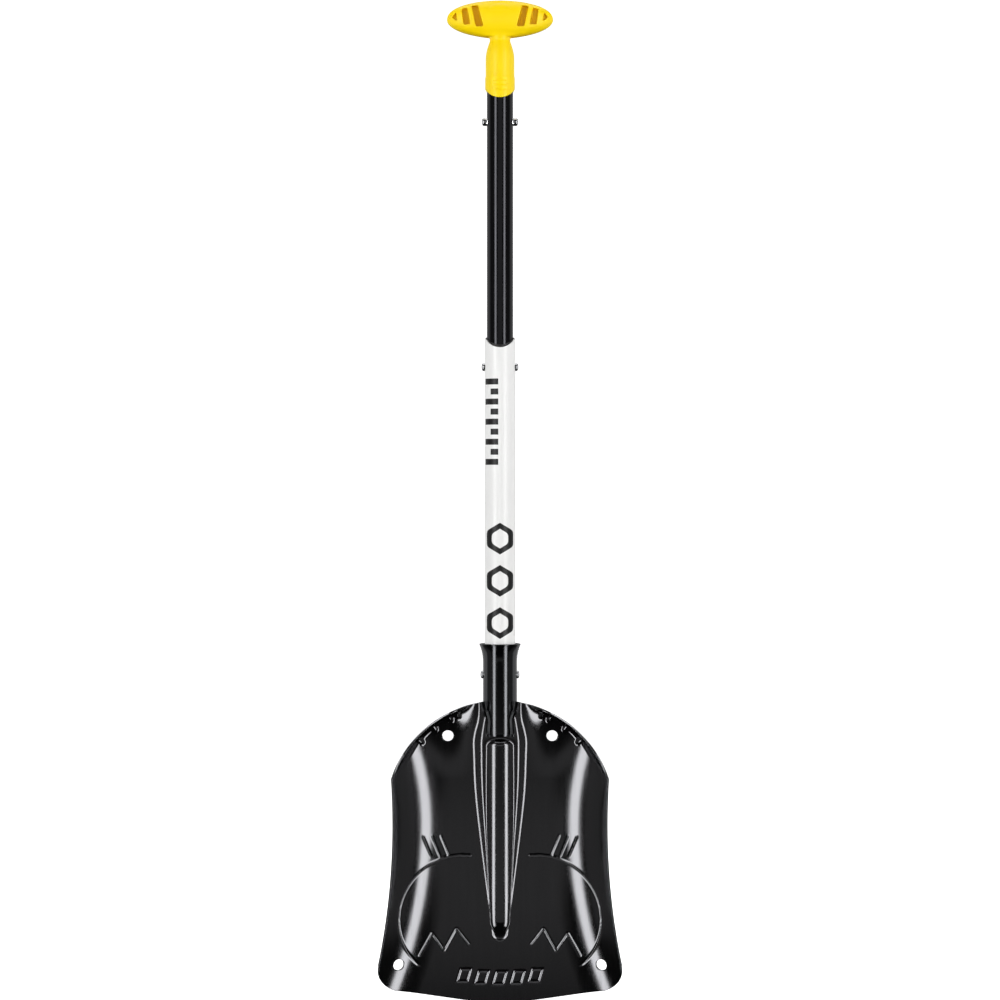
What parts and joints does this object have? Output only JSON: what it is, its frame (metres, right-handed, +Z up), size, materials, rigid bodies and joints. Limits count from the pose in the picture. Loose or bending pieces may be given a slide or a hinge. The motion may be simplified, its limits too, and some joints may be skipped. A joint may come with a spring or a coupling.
{
  "type": "avalanche shovel",
  "caption": "Avalanche shovel: stamped black scoop blade with welded socket, two-part telescoping shaft with snap buttons, and a moulded T-grip.",
  "frame": {"origin": "lowest point of the blade's edge, below the shaft's axis, where the blade is planted in snow", "axes": "+Z up along the shaft to the grip, -Y out of the scoop side of the blade, +X to the right seen from the scoop side"},
  "size_m": [0.2178, 0.0618, 0.8986],
  "materials": {
    "blade_anodised": "black hard-anodised aluminium sheet, glossy",
    "socket_anodised": "black anodised aluminium tube, glossy",
    "weld_bead": "aluminium weld bead under the black anodising",
    "tube_white": "white powder-coated aluminium tube with black print",
    "bushing_nylon": "black moulded nylon",
    "tube_anodised": "black anodised aluminium tube, glossy",
    "handle_plastic": "yellow moulded plastic, satin",
    "spring_steel": "spring steel strip",
    "button_steel": "polished stainless steel"
  },
  "bodies": {
    "blade_assembly": {"blade": "blade_anodised", "socket": "socket_anodised", "weld_front_left": "weld_bead", "weld_front_right": "weld_bead", "weld_back_left": "weld_bead", "weld_back_right": "weld_bead"},
    "lower_shaft": {"lower_tube": "tube_white", "tube_bushing": "bushing_nylon", "lower_end_plug": "bushing_nylon", "socket_clip_spring": "spring_steel"},
    "upper_shaft": {"upper_tube": "tube_anodised", "guide_bush": "bushing_nylon", "handle": "handle_plastic", "extension_clip_spring": "spring_steel", "stow_clip_spring": "spring_steel"},
    "socket_button_left_body": {"socket_button_left": "button_steel"},
    "socket_button_right_body": {"socket_button_right": "button_steel"},
    "extension_button_left_body": {"extension_button_left": "button_steel"},
    "extension_button_right_body": {"extension_button_right": "button_steel"},
    "stow_button_left_body": {"stow_button_left": "button_steel"},
    "stow_button_right_body": {"stow_button_right": "button_steel"}
  },
  "joints": [
    {"name": "shaft_pull_out", "type": "slide", "parent": "blade_assembly", "child": "lower_shaft", "axis": [0, 0, 1], "range_m": [0, 0.1], "deforming": ["socket_button_left", "socket_button_right"]},
    {"name": "shaft_telescope", "type": "slide", "parent": "lower_shaft", "child": "upper_shaft", "axis": [0, 0, 1], "range_m": [-0.2205, 0], "deforming": ["extension_button_left", "extension_button_right", "stow_button_left", "stow_button_right"]},
    {"name": "socket_button_left_press", "type": "slide", "parent": "lower_shaft", "child": "socket_button_left_body", "axis": [1, 0, 0], "range_m": [0, 0.0038], "stiffness_N_per_m": 1500, "springref_m": -0.0005, "deforming": ["socket_clip_spring"]},
    {"name": "socket_button_right_press", "type": "slide", "parent": "lower_shaft", "child": "socket_button_right_body", "axis": [-1, 0, 0], "range_m": [0, 0.0038], "stiffness_N_per_m": 1500, "springref_m": -0.0005, "deforming": ["socket_clip_spring"]},
    {"name": "extension_button_left_press", "type": "slide", "parent": "upper_shaft", "child": "extension_button_left_body", "axis": [1, 0, 0], "range_m": [0, 0.004], "stiffness_N_per_m": 1500, "springref_m": -0.0005, "deforming": ["extension_clip_spring"]},
    {"name": "extension_button_right_press", "type": "slide", "parent": "upper_shaft", "child": "extension_button_right_body", "axis": [-1, 0, 0], "range_m": [0, 0.004], "stiffness_N_per_m": 1500, "springref_m": -0.0005, "deforming": ["extension_clip_spring"]},
    {"name": "stow_button_left_press", "type": "slide", "parent": "upper_shaft", "child": "stow_button_left_body", "axis": [1, 0, 0], "range_m": [0, 0.004], "stiffness_N_per_m": 1500, "springref_m": -0.0005, "deforming": ["stow_clip_spring"]},
    {"name": "stow_button_right_press", "type": "slide", "parent": "upper_shaft", "child": "stow_button_right_body", "axis": [-1, 0, 0], "range_m": [0, 0.004], "stiffness_N_per_m": 1500, "springref_m": -0.0005, "deforming": ["stow_clip_spring"]}
  ]
}
